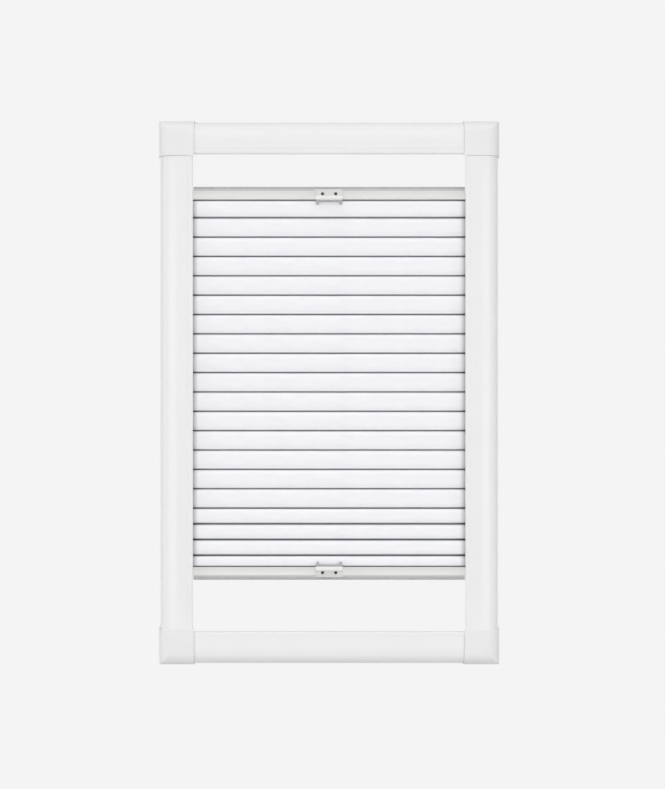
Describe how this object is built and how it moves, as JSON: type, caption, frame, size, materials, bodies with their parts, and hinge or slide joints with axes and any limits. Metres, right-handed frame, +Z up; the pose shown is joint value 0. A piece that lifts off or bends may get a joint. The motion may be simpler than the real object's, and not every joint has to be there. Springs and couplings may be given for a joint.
{
  "type": "cellular blind",
  "caption": "Framed honeycomb blind: fabric cells between two sliding rails with handles, held in a slim white surround frame that fixes to a window or wall",
  "frame": {"origin": "on the top bar's back face, which lies against the wall or window frame, midway along the bar and across its width", "axes": "+Z up along the height, +X to the right seen from the front, +Y back into the wall"},
  "size_m": [0.4296, 0.031, 0.6856],
  "materials": {
    "frame_white": "satin",
    "cell_fabric": "matte",
    "rail_silver": "satin",
    "seal_grey": "matte",
    "handle_grey": "satin",
    "screw_dark": "satin",
    "shoe_white": "satin",
    "cord_white": "matte",
    "spring_steel": "satin"
  },
  "bodies": {
    "frame": {"top_bar": "frame_white", "bottom_bar": "frame_white", "left_bar": "frame_white", "right_bar": "frame_white", "corner_cap_top_left": "frame_white", "corner_cap_top_right": "frame_white", "corner_cap_bottom_left": "frame_white", "corner_cap_bottom_right": "frame_white", "corner_joint_top_left": "shoe_white", "corner_joint_top_right": "shoe_white", "corner_joint_bottom_left": "shoe_white", "corner_joint_bottom_right": "shoe_white", "guide_cord_left_front": "cord_white", "guide_cord_left_back": "cord_white", "guide_cord_right_front": "cord_white", "guide_cord_right_back": "cord_white"},
    "top_rail": {"top_rail": "rail_silver", "top_seal": "seal_grey", "top_shoe_left": "shoe_white", "top_shoe_right": "shoe_white", "top_cord_front_left": "cord_white", "top_cord_front_right": "cord_white", "top_cord_back": "cord_white", "top_rail_spring": "spring_steel", "top_fabric_strip": "shoe_white", "top_handle": "handle_grey", "top_handle_screw_left": "screw_dark", "top_handle_screw_right": "screw_dark"},
    "bottom_rail": {"bottom_rail": "rail_silver", "bottom_seal": "seal_grey", "bottom_shoe_left": "shoe_white", "bottom_shoe_right": "shoe_white", "bottom_cord_front_left": "cord_white", "bottom_cord_front_right": "cord_white", "bottom_cord_back": "cord_white", "bottom_rail_spring": "spring_steel", "bottom_fabric_strip": "shoe_white", "bottom_handle": "handle_grey", "bottom_handle_screw_left": "screw_dark", "bottom_handle_screw_right": "screw_dark"},
    "cell_01": {"cell_01": "cell_fabric"},
    "cell_02": {"cell_02": "cell_fabric"},
    "cell_03": {"cell_03": "cell_fabric"},
    "cell_04": {"cell_04": "cell_fabric"},
    "cell_05": {"cell_05": "cell_fabric"},
    "cell_06": {"cell_06": "cell_fabric"},
    "cell_07": {"cell_07": "cell_fabric"},
    "cell_08": {"cell_08": "cell_fabric"},
    "cell_09": {"cell_09": "cell_fabric"},
    "cell_10": {"cell_10": "cell_fabric"},
    "cell_11": {"cell_11": "cell_fabric"},
    "cell_12": {"cell_12": "cell_fabric"},
    "cell_13": {"cell_13": "cell_fabric"},
    "cell_14": {"cell_14": "cell_fabric"},
    "cell_15": {"cell_15": "cell_fabric"},
    "cell_16": {"cell_16": "cell_fabric"},
    "cell_17": {"cell_17": "cell_fabric"},
    "cell_18": {"cell_18": "cell_fabric"},
    "cell_19": {"cell_19": "cell_fabric"},
    "cell_20": {"cell_20": "cell_fabric"}
  },
  "joints": [
    {"name": "top_rail_slide", "type": "slide", "parent": "frame", "child": "top_rail", "axis": [0, 0, 1], "range_m": [-0.16, 0.039]},
    {"name": "bottom_rail_slide", "type": "slide", "parent": "frame", "child": "bottom_rail", "axis": [0, 0, 1], "range_m": [-0.063, 0.222]},
    {"name": "cell_01_slide", "type": "slide", "parent": "frame", "child": "cell_01", "axis": [0, 0, 1], "range_m": [-0.1509, 0.0369], "deforming": ["cell_01"]},
    {"name": "cell_02_slide", "type": "slide", "parent": "frame", "child": "cell_02", "axis": [0, 0, 1], "range_m": [-0.1329, 0.0325], "deforming": ["cell_02"]},
    {"name": "cell_03_slide", "type": "slide", "parent": "frame", "child": "cell_03", "axis": [0, 0, 1], "range_m": [-0.1122, 0.0275], "deforming": ["cell_03"]},
    {"name": "cell_04_slide", "type": "slide", "parent": "frame", "child": "cell_04", "axis": [0, 0, 1], "range_m": [-0.0914, 0.0224], "deforming": ["cell_04"]},
    {"name": "cell_05_slide", "type": "slide", "parent": "frame", "child": "cell_05", "axis": [0, 0, 1], "range_m": [-0.0707, 0.0174], "deforming": ["cell_05"]},
    {"name": "cell_06_slide", "type": "slide", "parent": "frame", "child": "cell_06", "axis": [0, 0, 1], "range_m": [-0.0499, 0.0123], "deforming": ["cell_06"]},
    {"name": "cell_07_slide", "type": "slide", "parent": "frame", "child": "cell_07", "axis": [0, 0, 1], "range_m": [-0.0292, 0.0073], "deforming": ["cell_07"]},
    {"name": "cell_08_slide", "type": "slide", "parent": "frame", "child": "cell_08", "axis": [0, 0, 1], "range_m": [-0.0103, 0.0027], "deforming": ["cell_08"]},
    {"name": "cell_09_slide", "type": "slide", "parent": "frame", "child": "cell_09", "axis": [0, 0, 1], "range_m": [-0.0033, 0.011], "deforming": ["cell_09"]},
    {"name": "cell_10_slide", "type": "slide", "parent": "frame", "child": "cell_10", "axis": [0, 0, 1], "range_m": [-0.0086, 0.0298], "deforming": ["cell_10"]},
    {"name": "cell_11_slide", "type": "slide", "parent": "frame", "child": "cell_11", "axis": [0, 0, 1], "range_m": [-0.0145, 0.0505], "deforming": ["cell_11"]},
    {"name": "cell_12_slide", "type": "slide", "parent": "frame", "child": "cell_12", "axis": [0, 0, 1], "range_m": [-0.0204, 0.0712], "deforming": ["cell_12"]},
    {"name": "cell_13_slide", "type": "slide", "parent": "frame", "child": "cell_13", "axis": [0, 0, 1], "range_m": [-0.0262, 0.0919], "deforming": ["cell_13"]},
    {"name": "cell_14_slide", "type": "slide", "parent": "frame", "child": "cell_14", "axis": [0, 0, 1], "range_m": [-0.0321, 0.1126], "deforming": ["cell_14"]},
    {"name": "cell_15_slide", "type": "slide", "parent": "frame", "child": "cell_15", "axis": [0, 0, 1], "range_m": [-0.038, 0.1334], "deforming": ["cell_15"]},
    {"name": "cell_16_slide", "type": "slide", "parent": "frame", "child": "cell_16", "axis": [0, 0, 1], "range_m": [-0.0439, 0.1541], "deforming": ["cell_16"]},
    {"name": "cell_17_slide", "type": "slide", "parent": "frame", "child": "cell_17", "axis": [0, 0, 1], "range_m": [-0.0491, 0.1725], "deforming": ["cell_17"]},
    {"name": "cell_18_slide", "type": "slide", "parent": "frame", "child": "cell_18", "axis": [0, 0, 1], "range_m": [-0.0537, 0.1887], "deforming": ["cell_18"]},
    {"name": "cell_19_slide", "type": "slide", "parent": "frame", "child": "cell_19", "axis": [0, 0, 1], "range_m": [-0.0583, 0.2049], "deforming": ["cell_19"]},
    {"name": "cell_20_slide", "type": "slide", "parent": "frame", "child": "cell_20", "axis": [0, 0, 1], "range_m": [-0.0616, 0.2165], "deforming": ["cell_20"]}
  ],
  "couplings": [
    {"joint": "cell_01_slide", "follows": "top_rail_slide", "ratio": 0.9419},
    {"joint": "cell_02_slide", "follows": "top_rail_slide", "ratio": 0.8293},
    {"joint": "cell_03_slide", "follows": "top_rail_slide", "ratio": 0.6997},
    {"joint": "cell_04_slide", "follows": "top_rail_slide", "ratio": 0.57},
    {"joint": "cell_05_slide", "follows": "top_rail_slide", "ratio": 0.4404},
    {"joint": "cell_06_slide", "follows": "top_rail_slide", "ratio": 0.3107},
    {"joint": "cell_07_slide", "follows": "top_rail_slide", "ratio": 0.1811},
    {"joint": "cell_08_slide", "follows": "top_rail_slide", "ratio": 0.0633},
    {"joint": "cell_09_slide", "follows": "bottom_rail_slide", "ratio": 0.0486},
    {"joint": "cell_10_slide", "follows": "bottom_rail_slide", "ratio": 0.1334},
    {"joint": "cell_11_slide", "follows": "bottom_rail_slide", "ratio": 0.2266},
    {"joint": "cell_12_slide", "follows": "bottom_rail_slide", "ratio": 0.3199},
    {"joint": "cell_13_slide", "follows": "bottom_rail_slide", "ratio": 0.4132},
    {"joint": "cell_14_slide", "follows": "bottom_rail_slide", "ratio": 0.5065},
    {"joint": "cell_15_slide", "follows": "bottom_rail_slide", "ratio": 0.5998},
    {"joint": "cell_16_slide", "follows": "bottom_rail_slide", "ratio": 0.6931},
    {"joint": "cell_17_slide", "follows": "bottom_rail_slide", "ratio": 0.7762},
    {"joint": "cell_18_slide", "follows": "bottom_rail_slide", "ratio": 0.8492},
    {"joint": "cell_19_slide", "follows": "bottom_rail_slide", "ratio": 0.9222},
    {"joint": "cell_20_slide", "follows": "bottom_rail_slide", "ratio": 0.9742}
  ]
}
